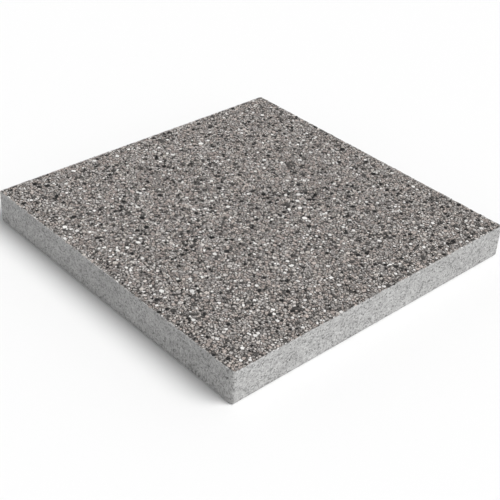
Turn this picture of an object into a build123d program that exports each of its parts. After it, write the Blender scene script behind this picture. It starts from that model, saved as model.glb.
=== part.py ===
from build123d import *
import math
import os
import random

# Granite-chip slab, 400 x 400 x 40 mm, lying flat with its working face up.
# Millimetres, +Z up, origin at the centre of the underside.
#
# The slab is cast in two courses. The lower one is plain concrete. The upper one is a
# mortar set with crushed stone, ground flat, so that each chipping shows a cut face that
# is level with the mortar around it.

# --- the whole slab --------------------------------------------------------------------
SIDE = 400.0  # length and width
THICKNESS = 40.0
FACING_THICKNESS = 8.0
CORNER_RADIUS = 3.0  # the upright corners, as the mould leaves them
LOWER_EDGE_RADIUS = 3.0
ARRIS_CHAMFER = 0.6  # the edge of the working face, broken so that it doesn't chip

BACKING_THICKNESS = THICKNESS - FACING_THICKNESS

# --- the stone chippings ---------------------------------------------------------------
CHIP_SEED = 57
CHIP_EDGE_MARGIN = 3.0  # mortar left between a chipping and the slab's side
CHIP_GAP = 1.0  # mortar left between two chippings
CHIP_TAPER = 8.0  # degrees, each chipping narrows downwards
CORNER_JITTER = 0.22  # how unevenly a chipping's corners are spaced, in steps of a corner
SHORTEST_REACH = 0.84  # of a chipping's corner from its centre, as a part of its half width
SLIMMEST = 0.62  # breadth of the narrowest chipping as a part of its length
CORNER_COUNTS = (5, 6, 7)

# Kind of stone: how many of its larger chippings the face shows, the smallest and the
# largest half width, and how deep they go into the facing.
STONE_KINDS = {
    "white_marble_chips": (20, 2.6, 3.9, 5.0),
    "white_quartz_grains": (20, 2.0, 2.8, 3.0),
    "pale_feldspar_chips": (20, 2.2, 3.2, 4.0),
    "light_grey_granite_chips": (20, 2.4, 3.5, 4.5),
    "mid_grey_granite_chips": (20, 2.4, 3.5, 4.5),
    "taupe_granite_chips": (20, 2.4, 3.5, 4.5),
    "dark_grey_granite_chips": (20, 2.2, 3.3, 4.0),
    "black_basalt_chips": (20, 2.0, 3.5, 4.0),
}


def chip_places(rng):
    """Centre and half width of every chipping, by kind, with none closer than the gap."""
    taken = []
    places = {}
    for kind, (count, smallest, largest, _) in STONE_KINDS.items():
        places[kind] = []
        while len(places[kind]) < count:
            half_width = rng.uniform(smallest, largest)
            reach = SIDE / 2 - CHIP_EDGE_MARGIN - half_width
            x = rng.uniform(-reach, reach)
            y = rng.uniform(-reach, reach)
            if all(math.hypot(x - u, y - v) > half_width + w + CHIP_GAP for u, v, w in taken):
                taken.append((x, y, half_width))
                places[kind].append((x, y, half_width))
    return places


def chip_outline(rng, half_width):
    """Corners of one crushed stone about its own centre: an uneven, slightly long polygon."""
    corners = rng.choice(CORNER_COUNTS)
    breadth = rng.uniform(SLIMMEST, 1.0)
    turn = rng.uniform(0.0, 2 * math.pi)
    outline = []
    for corner in range(corners):
        angle = 2 * math.pi * (corner + rng.uniform(-CORNER_JITTER, CORNER_JITTER)) / corners
        reach = half_width * rng.uniform(SHORTEST_REACH, 1.0)
        along = reach * math.cos(angle)
        across = reach * math.sin(angle) * breadth
        outline.append(
            (
                along * math.cos(turn) - across * math.sin(turn),
                along * math.sin(turn) + across * math.cos(turn),
            )
        )
    return outline


os.makedirs("parts", exist_ok=True)
rng = random.Random(CHIP_SEED)

# --- chippings: one group of separate stones for each kind of stone --------------------
stone_groups = []
for kind, places in chip_places(rng).items():
    depth = STONE_KINDS[kind][3]
    with BuildPart() as chips:
        with BuildSketch(Plane.XY.offset(THICKNESS)):
            for x, y, half_width in places:
                with Locations((x, y)):
                    Polygon(*chip_outline(rng, half_width), align=None)
        extrude(amount=-depth, taper=CHIP_TAPER)
    chips.part.label = kind
    export_step(chips.part, f"parts/{kind}.step")
    stone_groups.append(chips.part)

# --- facing course: the mortar of the working face, with a socket round each stone -----
with BuildPart() as facing_course:
    with BuildSketch(Plane.XY.offset(BACKING_THICKNESS)):
        RectangleRounded(SIDE, SIDE, CORNER_RADIUS)
    extrude(amount=FACING_THICKNESS)
    chamfer(facing_course.faces().sort_by(Axis.Z)[-1].edges(), ARRIS_CHAMFER)
    for stones in stone_groups:
        add(stones, mode=Mode.SUBTRACT)
facing_course.part.label = "facing_course"
export_step(facing_course.part, "parts/facing_course.step")

# --- backing course: the plain concrete body, which rests on the bench -----------------
with BuildPart() as backing_course:
    with BuildSketch():
        RectangleRounded(SIDE, SIDE, CORNER_RADIUS)
    extrude(amount=BACKING_THICKNESS)
    fillet(backing_course.faces().sort_by(Axis.Z)[0].edges(), LOWER_EDGE_RADIUS)
backing_course.part.label = "backing_course"
export_step(backing_course.part, "parts/backing_course.step")
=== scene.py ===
"""The looks of the granite-chip slab: two cast courses and the stones in its ground face."""

import math
import random
from collections import defaultdict

import bmesh
import bpy
import numpy as np
from mathutils import Matrix, Vector, noise


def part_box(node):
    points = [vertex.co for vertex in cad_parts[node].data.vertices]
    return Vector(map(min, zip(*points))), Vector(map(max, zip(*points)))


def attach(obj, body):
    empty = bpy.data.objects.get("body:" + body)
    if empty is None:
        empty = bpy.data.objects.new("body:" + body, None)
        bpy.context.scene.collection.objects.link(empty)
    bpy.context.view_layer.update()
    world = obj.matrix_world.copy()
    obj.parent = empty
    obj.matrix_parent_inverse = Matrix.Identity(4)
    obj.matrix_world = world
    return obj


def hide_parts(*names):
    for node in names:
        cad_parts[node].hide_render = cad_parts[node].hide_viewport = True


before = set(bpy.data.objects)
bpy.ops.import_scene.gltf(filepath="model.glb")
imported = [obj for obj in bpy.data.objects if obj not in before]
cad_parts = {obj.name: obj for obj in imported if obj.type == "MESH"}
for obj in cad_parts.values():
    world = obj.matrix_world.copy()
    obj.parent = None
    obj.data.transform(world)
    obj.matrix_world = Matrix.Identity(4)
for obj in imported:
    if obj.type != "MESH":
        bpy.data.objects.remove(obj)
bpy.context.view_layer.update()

# ---------------------------------------------------------------------------------------
# Sizes. The frame gives the slab's own; the rest are in metres too.
# ---------------------------------------------------------------------------------------
MM = 0.001
BACKING_LOW, BACKING_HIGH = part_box("backing_course")
FACING_LOW, FACING_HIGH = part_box("facing_course")
SIDE = BACKING_HIGH.x - BACKING_LOW.x
HALF = SIDE / 2
SEAM = FACING_LOW.z  # where the two courses meet
TOP = FACING_HIGH.z
CORNER_RADIUS = 3.0 * MM
LOWER_EDGE_RADIUS = 3.0 * MM

# The skin of the sides is a grid this fine.
COLUMNS_PER_SIDE = 400
ROW_HEIGHT = 0.85 * MM
LOWER_EDGE_ROWS = 4
FACE_STEP = 1.65 * MM  # grid of the mortar on the working face
UNDERSIDE_STEP = 4.0 * MM

SEED = 57
# The noise of each relief starts somewhere else, so that no two look alike.
WAVE_SEED = 1
ROUGHNESS_SEED = 2
DIMPLE_SEED = 3
ARRIS_DROP_SEED = 5
ARRIS_CUT_SEED = 8
MORTAR_SEED = 11
SEED_STEP = (17.3, 5.1, 9.7)  # from the noise of one seed to that of the next

# A course's bake map has a strip for each of its four sides, numbered from 0, and its big
# face above them. A heap of stones has one chart, seen from above. Lengths are parts of the
# map's width.
STRIP_LENGTH = 0.98
CHART_GAP = 0.004
FACE_CHART = 4
UNDERSIDE_CHART_WIDTH = 0.64
WORKING_FACE_CHART_WIDTH = 0.9
STONES_CHART_WIDTH = 0.99


# ---------------------------------------------------------------------------------------
# Mesh helpers
# ---------------------------------------------------------------------------------------
def square_loop(per_side):
    """Points round the slab's outline, anticlockwise from the -X -Y corner.

    Returns the points, their outward directions, and a number for each that runs from 0 to
    4, one for each side, so that two loops can be matched up.
    """
    steps = np.arange(per_side) / per_side
    along = -HALF + SIDE * steps
    edge = np.full(per_side, HALF)
    square = np.concatenate(
        [
            np.stack([along, -edge], 1),
            np.stack([edge, along], 1),
            np.stack([-along, edge], 1),
            np.stack([-edge, -along], 1),
        ]
    )
    core = HALF - CORNER_RADIUS
    nearest = np.clip(square, -core, core)
    outward = square - nearest
    outward /= np.linalg.norm(outward, axis=1)[:, None]
    turns = np.concatenate([side + steps for side in range(4)])
    return nearest + CORNER_RADIUS * outward, outward, turns


def zip_loops(outer, outer_turns, inner, inner_turns):
    """Triangles that fill the strip between two loops of vertices that run the same way."""
    outer_ends = np.append(outer_turns[1:], 4.0)
    inner_ends = np.append(inner_turns[1:], 4.0)
    triangles = []
    i = j = 0
    while i < len(outer) or j < len(inner):
        step_outer = j == len(inner) or (i < len(outer) and outer_ends[i] <= inner_ends[j])
        if step_outer:
            triangles.append((outer[i], outer[(i + 1) % len(outer)], inner[j % len(inner)]))
            i += 1
        else:
            triangles.append((outer[i % len(outer)], inner[(j + 1) % len(inner)], inner[j]))
            j += 1
    return triangles


def lattice(half, step):
    """A flat square grid: its points, its faces, and its border with the border's turns."""
    count = round(2 * half / step)
    line = np.linspace(-half, half, count + 1)
    x, y = np.meshgrid(line, line)
    points = np.stack([x.ravel(), y.ravel()], 1)
    index = np.arange((count + 1) ** 2).reshape(count + 1, count + 1)
    faces = np.stack([index[:-1, :-1], index[:-1, 1:], index[1:, 1:], index[1:, :-1]], -1)
    border = np.concatenate([index[0, :-1], index[:-1, -1], index[-1, :0:-1], index[:0:-1, 0]])
    turns = np.concatenate([side + np.arange(count) / count for side in range(4)])
    return points, faces.reshape(-1, 4), border, turns


def noise_at(points, scale, seed):
    """Smooth noise from -1 to 1 at each point, with features about scale metres wide."""
    offset = Vector([seed * step for step in SEED_STEP])
    return np.array([noise.noise(Vector(p) / scale + offset) for p in points])


class Skin:
    """Collects the vertices and faces of one mesh, with a chart and a slot for each face."""

    def __init__(self):
        self.points = []
        self.pits = []
        self.count = 0
        self.faces = []
        self.charts = []
        self.slots = []

    def add_points(self, points, pits=None):
        """Adds points and returns their numbers in the mesh."""
        first = self.count
        self.points.append(points)
        self.pits.append(np.zeros(len(points)) if pits is None else pits)
        self.count += len(points)
        return np.arange(first, self.count)

    def add_faces(self, faces, chart, slot):
        """Adds faces that share one chart and one material slot."""
        faces = [tuple(int(v) for v in face) for face in faces]
        self.faces += faces
        self.charts += [chart] * len(faces)
        self.slots += [slot] * len(faces)

    def add_wall(self, lower, upper, slot):
        """Adds the quads between two loops of the outline, each side in its own chart."""
        count = len(lower)
        for side in range(4):
            here = np.arange(side * count // 4, (side + 1) * count // 4)
            ahead = (here + 1) % count
            quads = np.stack([lower[here], lower[ahead], upper[ahead], upper[here]], 1)
            self.add_faces(quads, side, slot)

    def finish(self, name, charts, materials):
        """Makes the object, with its bake map, its pits and its materials."""
        mesh = bpy.data.meshes.new(name)
        points = np.concatenate(self.points)
        mesh.from_pydata(points.tolist(), [], self.faces)
        for material in materials:
            mesh.materials.append(material)
        mesh.polygons.foreach_set("material_index", self.slots)
        mesh.polygons.foreach_set("use_smooth", [True] * len(self.faces))
        pits = mesh.attributes.new("pit", "FLOAT", "POINT")
        pits.data.foreach_set("value", np.concatenate(self.pits).astype(np.float32))
        lay_out(mesh, np.array(self.charts), charts)
        mesh.update()
        return show(name, mesh)


def lay_out(mesh, face_charts, charts):
    """Gives the mesh a flat map: each chart is (u direction, v direction, origin, scale)."""
    totals = np.empty(len(mesh.polygons), np.int32)
    mesh.polygons.foreach_get("loop_total", totals)
    corners = np.empty(len(mesh.loops), np.int32)
    mesh.loops.foreach_get("vertex_index", corners)
    points = np.empty(len(mesh.vertices) * 3, np.float32)
    mesh.vertices.foreach_get("co", points)
    places = points.reshape(-1, 3)[corners]
    loop_charts = np.repeat(face_charts, totals)
    flat = np.zeros((len(corners), 2))
    for number, (u_way, v_way, origin, scale) in enumerate(charts):
        on_chart = loop_charts == number
        here = places[on_chart]
        flat[on_chart] = np.stack([here @ np.array(u_way), here @ np.array(v_way)], 1) * scale
        flat[on_chart] += origin
    layer = mesh.uv_layers.new(name="OFBake")
    layer.data.foreach_set("uv", flat.astype(np.float32).ravel())


def show(name, mesh):
    """Puts a mesh in the scene, riding on the slab's one body."""
    piece = bpy.data.objects.new(name, mesh)
    bpy.context.scene.collection.objects.link(piece)
    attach(piece, "root")
    return piece


def side_charts(low, high, face_width):
    """Charts for the four sides in strips along the bottom, and one for the big face above."""
    scale = STRIP_LENGTH / SIDE
    pitch = (high - low) * scale + CHART_GAP
    ways = [(1, 0, 0), (0, 1, 0), (-1, 0, 0), (0, -1, 0)]
    charts = []
    for side, way in enumerate(ways):
        foot = CHART_GAP + side * pitch
        charts.append((way, (0, 0, 1), (0.5, foot - low * scale), scale))
    middle = CHART_GAP + len(ways) * pitch + face_width / 2
    charts.append(((1, 0, 0), (0, 1, 0), (0.5, middle), face_width / SIDE))
    return charts


# ---------------------------------------------------------------------------------------
# Material helpers
# ---------------------------------------------------------------------------------------
class Shader:
    """One material's node tree, with coordinates in millimetres on the slab."""

    def __init__(self, name, roughness, specular):
        self.material = bpy.data.materials.new(name)
        self.material.use_nodes = True
        self.tree = self.material.node_tree
        self.surface = self.tree.nodes["Principled BSDF"]
        self.surface.inputs["Roughness"].default_value = roughness
        self.surface.inputs["Specular IOR Level"].default_value = specular
        coordinates = self.tree.nodes.new("ShaderNodeTexCoord")
        scale = self.tree.nodes.new("ShaderNodeVectorMath")
        scale.operation = "SCALE"
        scale.inputs["Scale"].default_value = 1 / MM
        self.link(coordinates.outputs["Object"], scale.inputs[0])
        self.place = scale.outputs["Vector"]

    def link(self, output, socket):
        self.tree.links.new(output, socket)

    def noise(self, size, detail, roughness=0.5):
        """Cloudy noise from 0 to 1 with features about size millimetres wide."""
        node = self.tree.nodes.new("ShaderNodeTexNoise")
        node.inputs["Scale"].default_value = 1 / size
        node.inputs["Detail"].default_value = detail
        node.inputs["Roughness"].default_value = roughness
        self.link(self.place, node.inputs["Vector"])
        return node.outputs["Fac"]

    def cells(self, size, output="Color"):
        """Cells about size millimetres wide: a random colour each, or the distance in them."""
        node = self.tree.nodes.new("ShaderNodeTexVoronoi")
        node.inputs["Scale"].default_value = 1 / size
        self.link(self.place, node.inputs["Vector"])
        return node.outputs[output]

    def grains(self, size):
        """Cells about size millimetres wide, each with its own number from 0 to 1."""
        node = self.tree.nodes.new("ShaderNodeSeparateColor")
        self.link(self.cells(size), node.inputs["Color"])
        return node.outputs["Red"]

    def attribute(self, name):
        node = self.tree.nodes.new("ShaderNodeAttribute")
        node.attribute_name = name
        return node.outputs["Fac"]

    def ramp(self, factor, stops):
        """Colours or greys along a factor: stops are (place, colour or grey)."""
        node = self.tree.nodes.new("ShaderNodeValToRGB")
        elements = node.color_ramp.elements
        while len(elements) < len(stops):
            elements.new(1.0)
        for element, (place, colour) in zip(elements, stops):
            element.position = place
            grey = (colour,) * 3 if isinstance(colour, (int, float)) else colour
            element.color = (*grey, 1.0)
        self.link(factor, node.inputs["Fac"])
        return node.outputs["Color"]

    def spread(self, factor, low, high, to_low=0.0, to_high=1.0):
        """Maps low..high onto to_low..to_high, and holds it there outside."""
        node = self.tree.nodes.new("ShaderNodeMapRange")
        self.link(factor, node.inputs["Value"])
        for socket, value in zip(
            ("From Min", "From Max", "To Min", "To Max"), (low, high, to_low, to_high)
        ):
            node.inputs[socket].default_value = value
        return node.outputs["Result"]

    def math(self, operation, first, second):
        """One step of arithmetic on a factor and another factor or a plain number."""
        node = self.tree.nodes.new("ShaderNodeMath")
        node.operation = operation
        self.link(first, node.inputs[0])
        if isinstance(second, bpy.types.NodeSocket):
            self.link(second, node.inputs[1])
        else:
            node.inputs[1].default_value = second
        return node.outputs["Value"]

    def shade(self, colour, factor):
        """A colour made lighter or darker by a grey factor."""
        node = self.tree.nodes.new("ShaderNodeMix")
        node.data_type = "RGBA"
        node.blend_type = "MULTIPLY"
        node.inputs["Factor"].default_value = 1.0
        for name, value in (("A", colour), ("B", factor)):
            self.link(value, next(s for s in node.inputs if s.name == name and s.type == "RGBA"))
        return next(s for s in node.outputs if s.type == "RGBA")

    def finish(self, colour, height, depth):
        """Wires up the surface: its colour, and its fine relief with the relief's depth."""
        self.link(colour, self.surface.inputs["Base Color"])
        bump = self.tree.nodes.new("ShaderNodeBump")
        bump.inputs["Distance"].default_value = depth
        self.link(height, bump.inputs["Height"])
        self.link(bump.outputs["Normal"], self.surface.inputs["Normal"])
        return self.material


# ---------------------------------------------------------------------------------------
# Materials of the two courses
# ---------------------------------------------------------------------------------------
PORE_SPACING = 4.2  # millimetres between the finest pores of the concrete


def pale_concrete():
    """Plain grey concrete as the mould leaves it: cement skin, fine sand and small pores, with
    painted shade darkening each pore and each pit of the sides.
    """
    shader = Shader("pale_concrete", roughness=0.85, specular=0.35)
    clouds = shader.noise(45.0, detail=3.0)
    blotches = shader.noise(7.0, detail=4.0)
    sand = shader.grains(1.7)
    grit = shader.noise(1.5, detail=3.0, roughness=0.7)
    colour = shader.ramp(clouds, [(0.3, (0.352, 0.35, 0.345)), (0.7, (0.402, 0.4, 0.395))])
    colour = shader.shade(colour, shader.ramp(blotches, [(0.3, 0.9), (0.7, 1.09)]))
    colour = shader.shade(colour, shader.ramp(sand, [(0.0, 0.52), (0.3, 0.92), (1.0, 1.18)]))
    colour = shader.shade(colour, shader.ramp(grit, [(0.32, 0.7), (0.68, 1.24)]))
    reach = shader.math("MULTIPLY", shader.grains(PORE_SPACING), 0.2)
    away = shader.math("SUBTRACT", shader.cells(PORE_SPACING, "Distance"), reach)
    pore = shader.spread(away, 0.0, 0.06)
    # Painted shade: the colour darkens towards the middle of each fine pore, where the bump
    # dips.
    colour = shader.shade(colour, shader.spread(pore, 0.0, 1.0, 0.45, 1.0))
    # Painted shade: the colour darkens in the pits cut into the sides, the deeper the darker.
    pit_shade = shader.spread(shader.attribute("pit"), 0.0, 1.0, 1.0, 0.62)
    colour = shader.shade(colour, pit_shade)
    height = shader.math("ADD", shader.math("MULTIPLY", grit, 0.6), pore)
    return shader.finish(colour, height=height, depth=0.25 * MM)


def facing_mortar():
    """Brown-grey mortar between the stones, full of sand of every colour, darkened towards black
    as painted shade of the crevices round the stones.
    """
    shader = Shader("facing_mortar", roughness=0.85, specular=0.3)
    sand = shader.grains(0.9)
    clouds = shader.noise(30.0, detail=3.0)
    grit = shader.noise(0.5, detail=2.0, roughness=0.7)
    # The darkest stops, near black, are partly the mortar's own dark sand and partly painted
    # shade of the crevices between the stones.
    colour = shader.ramp(
        sand,
        [
            (0.0, (0.02, 0.018, 0.017)),
            (0.3, (0.06, 0.055, 0.051)),
            (0.7, (0.12, 0.11, 0.103)),
            (0.9, (0.22, 0.204, 0.193)),
            (1.0, (0.5, 0.48, 0.46)),
        ],
    )
    colour = shader.shade(colour, shader.ramp(clouds, [(0.3, 0.9), (0.7, 1.08)]))
    colour = shader.shade(colour, shader.ramp(grit, [(0.3, 0.8), (0.7, 1.15)]))
    height = shader.math("ADD", sand, grit)
    return shader.finish(colour, height=height, depth=0.2 * MM)


# ---------------------------------------------------------------------------------------
# Materials of the stones. Each takes its stone's own tone, from 0 to 1, as an attribute.
# ---------------------------------------------------------------------------------------
def toned(shader, colour, darkest, lightest):
    """Makes each stone a little darker or lighter than the next."""
    tone = shader.spread(shader.attribute("tone"), 0.0, 1.0, darkest, lightest)
    return shader.shade(colour, tone)


def white_marble():
    shader = Shader("white_marble", roughness=0.5, specular=0.5)
    veins = shader.noise(1.6, detail=4.0, roughness=0.65)
    colour = shader.ramp(veins, [(0.34, (0.62, 0.6, 0.58)), (0.52, (0.92, 0.905, 0.885))])
    return shader.finish(toned(shader, colour, 0.8, 1.0), height=veins, depth=0.05 * MM)


def white_quartz():
    shader = Shader("white_quartz", roughness=0.35, specular=0.6)
    cloud = shader.noise(1.1, detail=3.0)
    colour = shader.ramp(cloud, [(0.3, (0.68, 0.66, 0.64)), (0.65, (0.9, 0.885, 0.865))])
    return shader.finish(toned(shader, colour, 0.8, 1.0), height=cloud, depth=0.08 * MM)


def pale_feldspar():
    shader = Shader("pale_feldspar", roughness=0.6, specular=0.45)
    crystals = shader.grains(0.9)
    colour = shader.ramp(crystals, [(0.0, (0.31, 0.283, 0.262)), (1.0, (0.66, 0.612, 0.57))])
    return shader.finish(toned(shader, colour, 0.7, 1.2), height=crystals, depth=0.06 * MM)


# The granites: dark mica, the colour of the body, and pale quartz and feldspar.
GRANITES = {
    "light_grey_granite": ((0.14, 0.132, 0.127), (0.435, 0.41, 0.392), (0.72, 0.69, 0.665)),
    "mid_grey_granite": ((0.09, 0.084, 0.08), (0.305, 0.286, 0.273), (0.56, 0.537, 0.517)),
    "taupe_granite": ((0.1, 0.087, 0.08), (0.372, 0.322, 0.295), (0.6, 0.545, 0.508)),
    "dark_grey_granite": ((0.015, 0.014, 0.013), (0.06, 0.056, 0.053), (0.17, 0.16, 0.153)),
}


def granite(name):
    """A granite, speckled with its three colours."""
    dark, middle, pale = GRANITES[name]
    shader = Shader(name, roughness=0.7, specular=0.4)
    crystals = shader.grains(1.1)
    grit = shader.noise(0.7, detail=2.0)
    colour = shader.ramp(crystals, [(0.0, dark), (0.22, middle), (0.75, middle), (1.0, pale)])
    colour = shader.shade(colour, shader.ramp(grit, [(0.3, 0.85), (0.7, 1.12)]))
    return shader.finish(toned(shader, colour, 0.7, 1.3), height=crystals, depth=0.08 * MM)


def black_basalt():
    shader = Shader("black_basalt", roughness=0.7, specular=0.15)
    flecks = shader.grains(0.5)
    colour = shader.ramp(flecks, [(0.0, 0.008), (0.8, 0.02), (1.0, 0.06)])
    return shader.finish(toned(shader, colour, 0.6, 1.6), height=flecks, depth=0.06 * MM)


# ---------------------------------------------------------------------------------------
# The sides: one relief for both courses, so that no step shows where they meet
# ---------------------------------------------------------------------------------------
PORE_COUNT = 600
PORE_RADII = (0.5 * MM, 1.7 * MM)
PORE_SKEW = 4  # the higher, the more of the pores are small
PORE_DEPTH = 0.75  # of the radius
PORE_MARGIN = 1 * MM  # no pore has its middle nearer than this to the top or the bottom
ROUGHNESS_DEPTH = 0.14 * MM
ROUGHNESS_WIDTH = 1.7 * MM
WAVE_DEPTH = 0.25 * MM
WAVE_WIDTH = 60 * MM


def make_pores(rng):
    """Air pores of the mould faces: (turn, height, radius), many small and few large."""
    pores = []
    smallest, largest = PORE_RADII
    for _ in range(PORE_COUNT):
        radius = smallest + (largest - smallest) * rng.random() ** PORE_SKEW
        turn = rng.uniform(0, 4)
        pores.append((turn, rng.uniform(PORE_MARGIN, TOP - PORE_MARGIN), radius))
    return pores


def side_relief(points, turns, pores):
    """How far each point of a side lies inside the flat face, and how deep it is in a pore."""
    relief = WAVE_DEPTH * (0.5 + 0.5 * noise_at(points, WAVE_WIDTH, WAVE_SEED))
    relief += ROUGHNESS_DEPTH * (0.5 + noise_at(points, ROUGHNESS_WIDTH, ROUGHNESS_SEED))
    pits = np.zeros(len(points))
    along = turns * SIDE
    for turn, height, radius in pores:
        across = np.abs(along - turn * SIDE)
        near = np.flatnonzero(across < radius)
        if not len(near):
            continue
        away = np.hypot(across[near], points[near, 2] - height) / radius
        bowl = np.sqrt(np.clip(1 - away**2, 0, None))
        relief[near] += PORE_DEPTH * radius * bowl
        pits[near] = np.maximum(pits[near], bowl)
    return np.clip(relief, 0, None), pits


def ring(skin, inset, height, pores):
    """Adds one loop of the slab's outline at a height, cut back by an inset and the relief."""
    outline, outward, turns = square_loop(COLUMNS_PER_SIDE)
    flat = np.column_stack([outline, np.broadcast_to(height, len(outline))])
    relief, pits = side_relief(flat, turns, pores)
    back = np.clip(relief + inset, 0, None)
    flat[:, :2] -= outward * back[:, None]
    return skin.add_points(flat, pits), turns


# ---------------------------------------------------------------------------------------
# Backing course
# ---------------------------------------------------------------------------------------
UNDERSIDE_DIMPLE = 0.3 * MM
DIMPLE_WIDTH = 9 * MM
UNDERSIDE_MARGIN = 6 * MM  # from the side to the dimpled part of the underside


def backing_piece(pores, materials):
    """The plain concrete body: underside, rounded lower edge, porous sides, flat top."""
    skin = Skin()
    loops = []
    for step in range(LOWER_EDGE_ROWS):
        angle = math.pi / 2 * step / LOWER_EDGE_ROWS
        inset = LOWER_EDGE_RADIUS * (1 - math.sin(angle))
        loops.append(ring(skin, inset, LOWER_EDGE_RADIUS * (1 - math.cos(angle)), pores))
    for height in np.linspace(
        LOWER_EDGE_RADIUS, SEAM, round((SEAM - LOWER_EDGE_RADIUS) / ROW_HEIGHT)
    ):
        loops.append(ring(skin, 0.0, height, pores))
    for (lower, _), (upper, _) in zip(loops, loops[1:]):
        skin.add_wall(lower, upper, 0)
    # On a chart that two faces share, a bake keeps the later one, so the hidden one is first.
    skin.add_faces([loops[-1][0]], FACE_CHART, 0)
    bottom, turns = loops[0]
    flat, quads, border, border_turns = lattice(HALF - UNDERSIDE_MARGIN, UNDERSIDE_STEP)
    places = np.pad(flat, ((0, 0), (0, 1)))
    dimples = UNDERSIDE_DIMPLE * np.clip(noise_at(places, DIMPLE_WIDTH, DIMPLE_SEED), 0, 1)
    numbers = skin.add_points(np.column_stack([flat, dimples]))
    skin.add_faces(numbers[quads][:, ::-1], FACE_CHART, 0)
    strip = zip_loops(bottom, turns, numbers[border], border_turns)
    skin.add_faces([face[::-1] for face in strip], FACE_CHART, 0)
    charts = side_charts(0.0, SEAM, UNDERSIDE_CHART_WIDTH)
    return skin.finish("backing_concrete", charts, materials)


# ---------------------------------------------------------------------------------------
# Facing course
# ---------------------------------------------------------------------------------------
ARRIS_DROP = (0.15 * MM, 0.9 * MM)  # how far the ragged edge lies below the face
ARRIS_CUT = (0.1 * MM, 1.5 * MM)  # and how far it is worn back
ARRIS_BITES = ((0.6, 5 * MM), (0.5, 1.6 * MM))  # its large and small bites: (share, width)
SOUND_SIDE = 1.2 * MM  # the side is whole up to this far below the face
SHOULDER_CUT = 0.25  # part of the wear that reaches the point just under the arris
SHOULDER_DROP = 0.25 * MM  # and how far below the arris that point is
LIP_WIDTH = 0.7 * MM  # pale cement skin that turns over the arris
LIP_FALL = 0.1 * MM  # from the arris to the inner edge of that skin
MORTAR_DROP = (0.45 * MM, 1.1 * MM)  # the mortar lies this far below the ground face
MORTAR_GRAIN = 2.6 * MM
MORTAR_MARGIN = 3.2 * MM  # from the side to the grid of the mortar
# Material slots of the piece.
MORTAR, CONCRETE = 0, 1


def ragged(points, limits, seed):
    """A rough value along an edge, between two limits."""
    low, high = limits
    (large, large_width), (small, small_width) = ARRIS_BITES
    rough = large * noise_at(points, large_width, seed)
    rough += small * noise_at(points, small_width, seed + 1)
    return low + (high - low) * np.clip(0.4 + rough, 0, 1)


def facing_piece(pores, materials):
    """The mortar of the face: the top of the sides, the ragged arris, and the rough face."""
    skin = Skin()
    heights = np.linspace(SEAM, TOP - SOUND_SIDE, round((TOP - SEAM) / ROW_HEIGHT))
    loops = [ring(skin, 0.0, height, pores) for height in heights]
    outline, _, turns = square_loop(COLUMNS_PER_SIDE)
    edge = np.column_stack([outline, np.full(len(outline), TOP)])
    drop = ragged(edge, ARRIS_DROP, ARRIS_DROP_SEED)
    cut = ragged(edge, ARRIS_CUT, ARRIS_CUT_SEED)
    loops.append(ring(skin, cut * SHOULDER_CUT, TOP - drop - SHOULDER_DROP, pores))
    loops.append(ring(skin, cut, TOP - drop, pores))
    for (lower, _), (upper, _) in zip(loops, loops[1:]):
        skin.add_wall(lower, upper, CONCRETE)
    # The hidden underside comes before the working face, for the same reason as in the backing.
    skin.add_faces([loops[0][0][::-1]], FACE_CHART, MORTAR)
    arris = loops[-1][0]
    lip = ring(skin, cut + LIP_WIDTH, TOP - drop - LIP_FALL, pores)[0]
    skin.add_faces(zip_loops(arris, turns, lip, turns), FACE_CHART, CONCRETE)
    flat, quads, border, border_turns = lattice(HALF - MORTAR_MARGIN, FACE_STEP)
    places = np.pad(flat, ((0, 0), (0, 1)))
    low, high = MORTAR_DROP
    sunk = low + (high - low) * (0.5 + 0.5 * noise_at(places, MORTAR_GRAIN, MORTAR_SEED))
    numbers = skin.add_points(np.column_stack([flat, TOP - sunk]))
    skin.add_faces(numbers[quads], FACE_CHART, MORTAR)
    strip = zip_loops(lip, turns, numbers[border], border_turns)
    skin.add_faces(strip, FACE_CHART, MORTAR)
    charts = side_charts(SEAM, TOP, WORKING_FACE_CHART_WIDTH)
    return skin.finish("facing_mortar", charts, materials)


# ---------------------------------------------------------------------------------------
# Stones
# ---------------------------------------------------------------------------------------
# Share of each kind among the stones that fill the face between the CAD model's own.
KIND_SHARES = {
    "white_marble_chips": 0.03,
    "white_quartz_grains": 0.035,
    "pale_feldspar_chips": 0.11,
    "light_grey_granite_chips": 0.2,
    "mid_grey_granite_chips": 0.19,
    "taupe_granite_chips": 0.285,
    "dark_grey_granite_chips": 0.085,
    "black_basalt_chips": 0.065,
}
# Sizes of the fill, largest first: the smallest and largest half width, how many stones are
# wanted, and how many places are tried for them.
FILL_SIZES = [
    (2.4 * MM, 3.1 * MM, 500, 8000),
    (1.7 * MM, 2.4 * MM, 2800, 24000),
    (1.1 * MM, 1.7 * MM, 8500, 64000),
    (0.7 * MM, 1.1 * MM, 11000, 110000),
]
CROWD = 0.86  # two stones' circles may overlap to this part of their summed half widths
JOINT = (0.2 * MM, 0.7 * MM)  # mortar between two neighbours
TOUCHING = 1.4  # neighbours further apart than this, in summed half widths, don't press
EDGE_KEEP = (0.3 * MM, 1.5 * MM)  # stones stop this far inside the side
CORNER_KEEP = 0.8 * CORNER_RADIUS  # and this far inside the tip that a sharp corner would have
BUCKET = 3.6 * MM

# The outline of a loose stone.
CORNER_COUNTS = (4, 5, 5, 6, 7)
BREADTH = (0.55, 1.0)  # of its length
CORNER_JITTER = 0.25  # how unevenly its corners are spaced, in steps of a corner
CORNER_REACH = (0.95, 1.3)  # of a corner from the middle, in half widths

# The corners that break up the long edges of a big stone.
BIG_STONE = 1.7 * MM  # half width from which a stone is big, and has a facetted face too
LONG_EDGE = 1.2 * MM
BREAK_PLACE = (0.35, 0.65)  # along the edge
BREAK_SHIFT = (-0.16, 0.06)  # outwards, as a part of the edge

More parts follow.
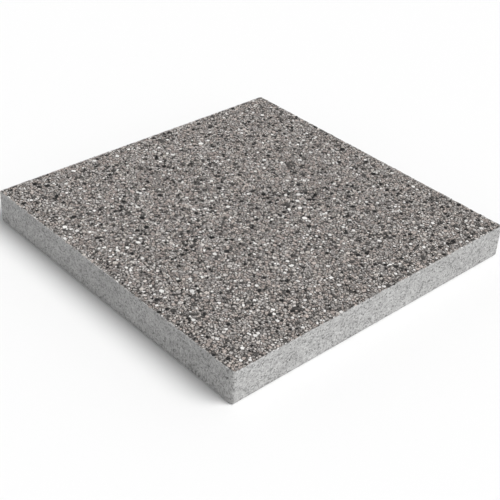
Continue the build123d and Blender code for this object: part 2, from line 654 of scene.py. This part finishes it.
# The stone's own shape.
SHORTEST_EDGE = 0.15 * MM
SMALLEST_REACH = 0.35 * MM
SLOPE = 0.035  # standard deviation of its tilt
CAD_STONE_DROP = 0.02 * MM  # of the CAD model's stones below the ground face
FILL_STONE_DROP = 0.13 * MM  # standard deviation of the others' drop
WORN_DROP = (0.12 * MM, 0.3 * MM)  # of its widest part, where a small stone's face lies
WORN_WIDTH = (0.15 * MM, 0.4 * MM)  # a big stone's worn edge, seen from above
SMALLEST_FACE = 0.5  # of the stone's width
ROOT_DEPTH = (0.9, 1.3)  # in half widths
ROOT_EXTRA = 0.6 * MM  # added to that depth
ROOT_WIDTH = 0.72  # of the stone's width
CROWN_SHIFT = 0.3  # of the point where the facets meet, in half widths
CROWN_DROP = 0.12 * MM

# What counts as one corner, and as the cut face, in the CAD model's chippings.
SAME_POINT = 0.001 * MM
FLAT_ANGLE = math.radians(1)
UPWARD = 0.99


class Buckets:
    """Circles on the face, filed by place so that neighbours are quick to find."""

    def __init__(self):
        self.bins = defaultdict(list)
        self.largest = 0.0

    def add(self, x, y, reach):
        self.bins[int(x // BUCKET), int(y // BUCKET)].append((x, y, reach))
        self.largest = max(self.largest, reach)

    def near(self, x, y, distance):
        """Every circle whose centre may be within a distance of a point."""
        for column in range(int((x - distance) // BUCKET), int((x + distance) // BUCKET) + 1):
            for row in range(int((y - distance) // BUCKET), int((y + distance) // BUCKET) + 1):
                yield from self.bins.get((column, row), ())

    def room_for(self, x, y, reach):
        for u, v, other in self.near(x, y, reach + self.largest):
            if (x - u) ** 2 + (y - v) ** 2 < (CROWD * (reach + other)) ** 2:
                return False
        return True


def cad_outlines(node):
    """The cut faces of a CAD node's chippings: a list of outlines, anticlockwise."""
    bm = bmesh.new()
    bm.from_mesh(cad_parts[node].data)
    bmesh.ops.remove_doubles(bm, verts=bm.verts, dist=SAME_POINT)
    bmesh.ops.dissolve_limit(bm, verts=bm.verts, edges=bm.edges, angle_limit=FLAT_ANGLE)
    faces = [f for f in bm.faces if f.normal.z > UPWARD]
    outlines = [[(v.co.x, v.co.y) for v in face.verts] for face in faces]
    bm.free()
    return outlines


def middle_of(outline):
    """Mean of the corners, and the distance from it to the furthest one."""
    x = sum(p[0] for p in outline) / len(outline)
    y = sum(p[1] for p in outline) / len(outline)
    return x, y, max(math.hypot(p[0] - x, p[1] - y) for p in outline)


def clip(outline, x, y, away_x, away_y, distance):
    """Cuts an outline with the line a distance from (x, y) along a unit direction."""
    kept = []
    sides = [(p[0] - x) * away_x + (p[1] - y) * away_y - distance for p in outline]
    for i, (here, side) in enumerate(zip(outline, sides)):
        before, side_before = outline[i - 1], sides[i - 1]
        if (side < 0) != (side_before < 0):
            part = side_before / (side_before - side)
            kept.append(
                (
                    before[0] + part * (here[0] - before[0]),
                    before[1] + part * (here[1] - before[1]),
                )
            )
        if side < 0:
            kept.append(here)
    return kept


def crushed_outline(rng, x, y, reach):
    """The outline of a loose crushed stone, before its neighbours press on it."""
    corners = rng.choice(CORNER_COUNTS)
    breadth = rng.uniform(*BREADTH)
    turn = rng.uniform(0, 2 * math.pi)
    outline = []
    for corner in range(corners):
        step = corner + rng.uniform(-CORNER_JITTER, CORNER_JITTER)
        angle = 2 * math.pi * step / corners
        long = reach * rng.uniform(*CORNER_REACH) * math.cos(angle)
        wide = reach * rng.uniform(*CORNER_REACH) * math.sin(angle) * breadth
        outline.append(
            (
                x + long * math.cos(turn) - wide * math.sin(turn),
                y + long * math.sin(turn) + wide * math.cos(turn),
            )
        )
    return outline


def pressed_outline(rng, buckets, x, y, reach):
    """A stone's outline after its neighbours and the slab's edge have cut it back."""
    outline = crushed_outline(rng, x, y, reach)
    for u, v, other in buckets.near(x, y, reach + buckets.largest):
        apart = math.hypot(u - x, v - y)
        if apart == 0 or apart > TOUCHING * (reach + other):
            continue
        line = (apart**2 + reach**2 - other**2) / (2 * apart) - rng.uniform(*JOINT) / 2
        outline = clip(outline, x, y, (u - x) / apart, (v - y) / apart, line)
        if len(outline) < 3:
            return None
    limit = HALF - rng.uniform(*EDGE_KEEP)
    for way_x, way_y in ((1, 0), (-1, 0), (0, 1), (0, -1)):
        outline = clip(outline, 0, 0, way_x, way_y, limit)
        if len(outline) < 3:
            return None
    corner = math.sqrt(2) * HALF - CORNER_KEEP
    diagonal = math.sqrt(0.5)
    for way_x, way_y in ((1, 1), (-1, 1), (1, -1), (-1, -1)):
        outline = clip(outline, 0, 0, way_x * diagonal, way_y * diagonal, corner)
        if len(outline) < 3:
            return None
    return outline


def settle_stones(rng):
    """Every stone of the face, by node: (outline, whether it is one of the CAD model's)."""
    stones = {node: [] for node in KIND_SHARES}
    buckets = Buckets()
    for node in KIND_SHARES:
        for outline in cad_outlines(node):
            buckets.add(*middle_of(outline))
            stones[node].append((outline, True))
    fill = []
    for smallest, largest, wanted, tries in FILL_SIZES:
        placed = 0
        for _ in range(tries):
            if placed == wanted:
                break
            reach = rng.uniform(smallest, largest)
            x = rng.uniform(-HALF, HALF)
            y = rng.uniform(-HALF, HALF)
            if buckets.room_for(x, y, reach):
                buckets.add(x, y, reach)
                fill.append((x, y, reach))
                placed += 1
    nodes = list(KIND_SHARES)
    shares = list(KIND_SHARES.values())
    for x, y, reach in fill:
        node = rng.choices(nodes, shares)[0]
        outline = pressed_outline(rng, buckets, x, y, reach)
        if outline:
            stones[node].append((outline, False))
    return stones


def tidy_outline(outline, shortest):
    """Drops corners that are too close to the one before."""
    kept = []
    for point in outline:
        if not kept or math.dist(point, kept[-1]) > shortest:
            kept.append(point)
    if len(kept) > 1 and math.dist(kept[0], kept[-1]) <= shortest:
        kept.pop()
    return kept


def broken_edges(rng, outline):
    """Adds an uneven corner in the middle of each long edge."""
    kept = []
    for here, ahead in zip(outline, outline[1:] + outline[:1]):
        kept.append(here)
        length = math.dist(here, ahead)
        if length > LONG_EDGE:
            part = rng.uniform(*BREAK_PLACE)
            shift = rng.uniform(*BREAK_SHIFT) * length
            along_x = ahead[0] - here[0]
            along_y = ahead[1] - here[1]
            kept.append(
                (
                    here[0] + part * along_x + shift * along_y / length,
                    here[1] + part * along_y - shift * along_x / length,
                )
            )
    return kept


class Stones:
    """Collects all the stones of one kind into one mesh of separate closed solids."""

    def __init__(self, rng):
        self.rng = rng
        self.points = []
        self.faces = []
        self.tones = []

    def add(self, outline, from_cad):
        """Adds one stone: a root in the mortar and a cut face, with a worn edge if it's big."""
        rng = self.rng
        outline = tidy_outline(outline, SHORTEST_EDGE)
        if len(outline) < 3:
            return
        x, y, reach = middle_of(outline)
        if reach < SMALLEST_REACH:
            return
        big = reach > BIG_STONE
        if big:
            outline = broken_edges(rng, outline)
        count = len(outline)
        slope_x = rng.gauss(0, SLOPE)
        slope_y = rng.gauss(0, SLOPE)
        sunk = CAD_STONE_DROP if from_cad else abs(rng.gauss(0, FILL_STONE_DROP))
        highest = TOP - sunk - reach * math.hypot(slope_x, slope_y)
        worn = rng.uniform(*WORN_DROP)
        inner = max(SMALLEST_FACE, 1 - rng.uniform(*WORN_WIDTH) / reach)
        depth = rng.uniform(*ROOT_DEPTH) * reach + ROOT_EXTRA

        def loop(shrink, drop, tilt):
            first = len(self.points)
            for u, v in outline:
                u, v = (u - x) * shrink, (v - y) * shrink
                height = highest - drop + tilt * (slope_x * u + slope_y * v)
                self.points.append((x + u, y + v, height))
            return list(range(first, first + count))

        root = loop(ROOT_WIDTH, depth, 0)
        shoulder = loop(1.0, worn, 1)
        face = loop(inner, 0.0, 1) if big else None
        start = len(self.tones)
        self.faces.append(root[::-1])
        self.bridge(root, shoulder)
        if big:
            self.bridge(shoulder, face)
            self.crown(face, x, y, highest, reach)
        else:
            self.faces.append(shoulder)
        self.tones += [rng.random()] * (len(self.points) - start)

    def bridge(self, lower, upper):
        for i, low in enumerate(lower):
            ahead = (i + 1) % len(lower)
            self.faces.append([low, lower[ahead], upper[ahead], upper[i]])

    def crown(self, face, x, y, highest, reach):
        """A cut face in flat facets round a slightly low middle."""
        rng = self.rng
        shift_x = rng.uniform(-CROWN_SHIFT, CROWN_SHIFT) * reach
        shift_y = rng.uniform(-CROWN_SHIFT, CROWN_SHIFT) * reach
        self.points.append((x + shift_x, y + shift_y, highest + rng.uniform(-CROWN_DROP, 0.0)))
        middle = len(self.points) - 1
        for i, corner in enumerate(face):
            self.faces.append([corner, face[(i + 1) % len(face)], middle])

    def finish(self, name, material):
        mesh = bpy.data.meshes.new(name)
        mesh.from_pydata(self.points, [], self.faces)
        mesh.materials.append(material)
        tones = mesh.attributes.new("tone", "FLOAT", "POINT")
        tones.data.foreach_set("value", self.tones)
        planar = [((1, 0, 0), (0, 1, 0), (0.5, 0.5), STONES_CHART_WIDTH / SIDE)]
        lay_out(mesh, np.zeros(len(self.faces), int), planar)
        mesh.update()
        return show(name, mesh)


def stone_kinds():
    """For each CAD node of stones, the piece that stands for it, its slot and its material."""
    kinds = {
        "white_marble_chips": ("white_marble_stones", "white_marble", white_marble()),
        "white_quartz_grains": ("white_quartz_stones", "white_quartz", white_quartz()),
        "pale_feldspar_chips": ("pale_feldspar_stones", "pale_feldspar", pale_feldspar()),
    }
    for name in GRANITES:
        kinds[name + "_chips"] = (name + "_stones", name, granite(name))
    kinds["black_basalt_chips"] = ("black_basalt_stones", "black_basalt", black_basalt())
    return kinds


# ---------------------------------------------------------------------------------------
# The slab
# ---------------------------------------------------------------------------------------
def build_slab():
    rng = random.Random(SEED)
    pores = make_pores(rng)
    concrete = pale_concrete()
    backing = backing_piece(pores, [concrete])
    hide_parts("backing_course")
    facing = facing_piece(pores, [facing_mortar(), concrete])
    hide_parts("facing_course")
    kinds = stone_kinds()
    for node, stones in settle_stones(rng).items():
        name, slot, material = kinds[node]
        heap = Stones(rng)
        for outline, from_cad in stones:
            heap.add(outline, from_cad)
        piece = heap.finish(name, material)
        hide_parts(node)


# ---------------------------------------------------------------------------------------
# Floor, light and camera
# ---------------------------------------------------------------------------------------
FLOOR_SIZE = 12.0
FLOOR_COLOUR = (0.87, 0.87, 0.87)
FLOOR_ROUGHNESS = 0.9
FLOOR_HEIGHT = -0.05 * MM  # just under the slab, so that the two faces never coincide
SKY = [(0.12, 0.97), (0.65, 0.3)]  # pale at the horizon, softer overhead: (height, grey)
KEY_DIRECTION = Vector((1.8, -3.12, 4.29))  # from the slab to the light
KEY_STRENGTH = 3.0
KEY_SPREAD = math.radians(40)  # how wide the light looks, which softens its shadows


def floor():
    """A plain pale floor under the slab."""
    mesh = bpy.data.meshes.new("floor")
    reach = FLOOR_SIZE / 2
    corners = [(-reach, -reach), (reach, -reach), (reach, reach), (-reach, reach)]
    mesh.from_pydata([(x, y, FLOOR_HEIGHT) for x, y in corners], [], [(0, 1, 2, 3)])
    paint = bpy.data.materials.new("floor_paint")
    paint.use_nodes = True
    surface = paint.node_tree.nodes["Principled BSDF"]
    surface.inputs["Base Color"].default_value = (*FLOOR_COLOUR, 1)
    surface.inputs["Roughness"].default_value = FLOOR_ROUGHNESS
    mesh.materials.append(paint)
    plane = bpy.data.objects.new("floor", mesh)
    bpy.context.scene.collection.objects.link(plane)


def key_light():
    """One wide, soft, distant light."""
    data = bpy.data.lights.new("key", "SUN")
    data.energy = KEY_STRENGTH
    data.angle = KEY_SPREAD
    light = bpy.data.objects.new("key", data)
    light.location = KEY_DIRECTION
    light.rotation_euler = (-KEY_DIRECTION).to_track_quat("-Z", "Y").to_euler()
    bpy.context.scene.collection.objects.link(light)


def studio():
    scene = bpy.context.scene
    scene.view_settings.view_transform = "Standard"
    world = bpy.data.worlds.new("studio")
    world.use_nodes = True
    tree = world.node_tree
    direction = tree.nodes.new("ShaderNodeTexCoord")
    height = tree.nodes.new("ShaderNodeSeparateXYZ")
    sky = tree.nodes.new("ShaderNodeValToRGB")
    for element, (place, grey) in zip(sky.color_ramp.elements, SKY):
        element.position = place
        element.color = (grey, grey, grey, 1.0)
    tree.links.new(direction.outputs["Generated"], height.inputs["Vector"])
    tree.links.new(height.outputs["Z"], sky.inputs["Fac"])
    tree.links.new(sky.outputs["Color"], tree.nodes["Background"].inputs["Color"])
    scene.world = world
    key_light()


CAMERA_AZIMUTH = 46.0  # of the view direction, from +X towards +Y
CAMERA_ELEVATION = 34.18
CAMERA_ROLL = 3.446
CAMERA_DISTANCE = 2.8533 * SIDE
CAMERA_AIM = Vector((-0.1399 * SIDE, -0.1552 * SIDE, TOP))
LENS_PER_SENSOR = 1081.75 / 500  # focal length in widths of the picture


def camera():
    azimuth = math.radians(CAMERA_AZIMUTH)
    elevation = math.radians(CAMERA_ELEVATION)
    roll = math.radians(CAMERA_ROLL)
    forward = Vector(
        (
            math.cos(elevation) * math.cos(azimuth),
            math.cos(elevation) * math.sin(azimuth),
            -math.sin(elevation),
        )
    )
    level = forward.cross(Vector((0, 0, 1))).normalized()
    upright = level.cross(forward)
    right = level * math.cos(roll) + upright * math.sin(roll)
    up = upright * math.cos(roll) - level * math.sin(roll)
    data = bpy.data.cameras.new("camera")
    data.lens = data.sensor_width * LENS_PER_SENSOR
    view = bpy.data.objects.new("camera", data)
    turn = Matrix((right, up, -forward)).transposed().to_4x4()
    view.matrix_world = Matrix.Translation(CAMERA_AIM - forward * CAMERA_DISTANCE) @ turn
    bpy.context.scene.collection.objects.link(view)
    bpy.context.scene.camera = view


build_slab()
floor()
studio()
camera()

bpy.context.view_layer.update()
